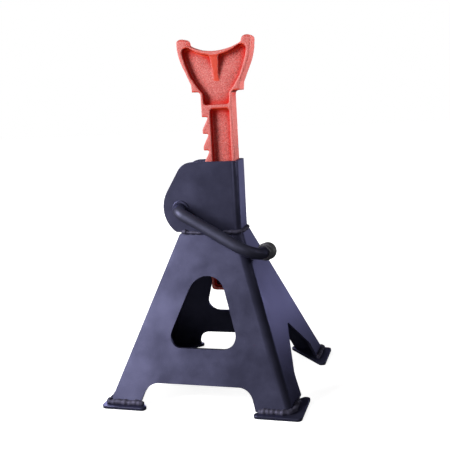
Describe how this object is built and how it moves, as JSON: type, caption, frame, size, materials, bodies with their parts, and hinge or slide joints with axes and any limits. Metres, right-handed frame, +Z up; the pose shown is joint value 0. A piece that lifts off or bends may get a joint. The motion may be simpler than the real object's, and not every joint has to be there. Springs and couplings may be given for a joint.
{
  "type": "jack stand",
  "caption": "Ratchet axle jack stand: folded steel pyramid on four welded pads, pawl housing with bent-rod handle, toothed post carrying a forked saddle.",
  "frame": {"origin": "floor level, on the centre line of the square base", "axes": "+X towards the housing's closed back and the handle's grip, -Y is the front face that carries the handle's arm, +Z up along the post"},
  "size_m": [0.2093, 0.2055, 0.3715],
  "materials": {
    "frame_coat": "satin powder coat, dark blue-grey",
    "weld_coat": "satin powder coat over rippled weld",
    "rod_coat": "satin powder coat, dark blue-grey",
    "cast_paint": "satin salmon-red paint on sand casting",
    "cap_vinyl": "matt dark vinyl",
    "zinc": "zinc plated",
    "pawl_steel": "dark phosphated steel"
  },
  "bodies": {
    "stand": {"base_front_half": "frame_coat", "base_rear_half": "frame_coat", "seam_weld_left": "weld_coat", "seam_weld_right": "weld_coat", "foot_pad_front_left": "frame_coat", "foot_pad_front_right": "frame_coat", "foot_pad_rear_left": "frame_coat", "foot_pad_rear_right": "frame_coat", "foot_weld_front_left": "weld_coat", "foot_weld_front_right": "weld_coat", "foot_weld_rear_left": "weld_coat", "foot_weld_rear_right": "weld_coat", "pawl_housing": "frame_coat", "housing_weld_front": "weld_coat", "housing_weld_rear": "weld_coat", "housing_weld_back": "weld_coat", "guide_plate_front": "frame_coat", "guide_plate_rear": "frame_coat", "lower_guide_strip": "frame_coat"},
    "post": {"ratchet_post": "cast_paint", "post_stop_pin": "zinc"},
    "handle": {"handle_rod": "rod_coat", "handle_end_cap": "cap_vinyl", "pawl": "pawl_steel", "pawl_roll_pin": "zinc", "spacer_washer_front": "zinc", "spacer_washer_rear": "zinc", "rod_end_washer": "zinc", "cotter_pin": "zinc"}
  },
  "joints": [
    {"name": "post_slide", "type": "slide", "parent": "stand", "child": "post", "axis": [0, 0, 1], "range_m": [-0.07, 0.0525]},
    {"name": "handle_pivot", "type": "hinge", "parent": "stand", "child": "handle", "pos_m": [-0.0327, 0, 0.1935], "axis": [0, -1, 0], "range_deg": [-1.5, 50]}
  ]
}
